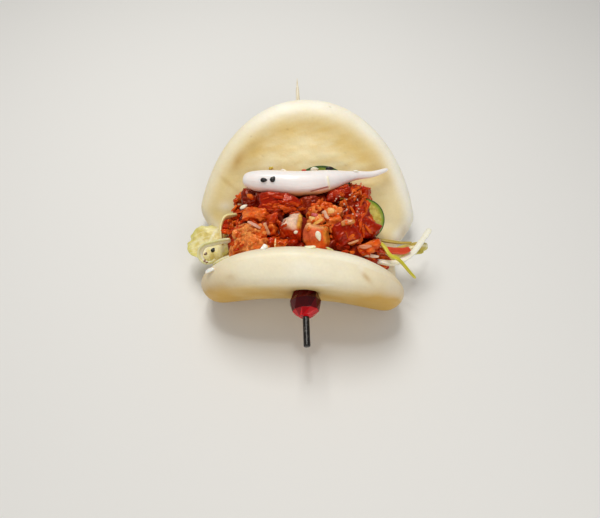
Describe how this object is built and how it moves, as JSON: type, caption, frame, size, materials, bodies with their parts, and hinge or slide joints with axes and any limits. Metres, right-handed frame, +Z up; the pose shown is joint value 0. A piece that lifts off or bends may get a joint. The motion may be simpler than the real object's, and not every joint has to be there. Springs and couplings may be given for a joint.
{
  "type": "filled steamed bun",
  "caption": "Soft steamed bun folded open round glazed pork chunks, topped with a pickled shallot, with cucumber, salad shreds and a beaded bamboo pick pushed through.",
  "frame": {"origin": "centre of the bounding box, at the height of the surface the bun rests on", "axes": "+Z up, the short front flap and the bead face -Y, the tall rear flap and the pick's point face +Y"},
  "size_m": [0.094, 0.1278, 0.0407],
  "materials": {
    "dough": "soft satin, off-white",
    "pork": "wet red glaze",
    "shallot": "wet, slightly translucent, pinkish white",
    "cucumber": "wet, pale flesh with dark green skin",
    "shred": "crisp, pale yellow-green",
    "leaf": "thin, yellowish",
    "pepper": "wet, orange-red",
    "bamboo": "bare pale bamboo",
    "bead": "clear red, faceted",
    "handle": "glossy black"
  },
  "bodies": {
    "root": {"bun": "dough", "pork_filling": "pork", "shallot": "shallot", "cucumber_back": "cucumber", "cucumber_right": "cucumber", "shred_left_curl": "shred", "leaf_left": "leaf", "leaf_right": "leaf", "shred_left_upper": "shred", "shred_left_lower": "shred", "shred_right_white": "shred", "shred_right_green": "shred", "shred_right_thin": "shred", "pepper_right": "pepper", "pick_stick": "bamboo", "pick_bead": "bead", "pick_handle": "handle"}
  },
  "joints": []
}
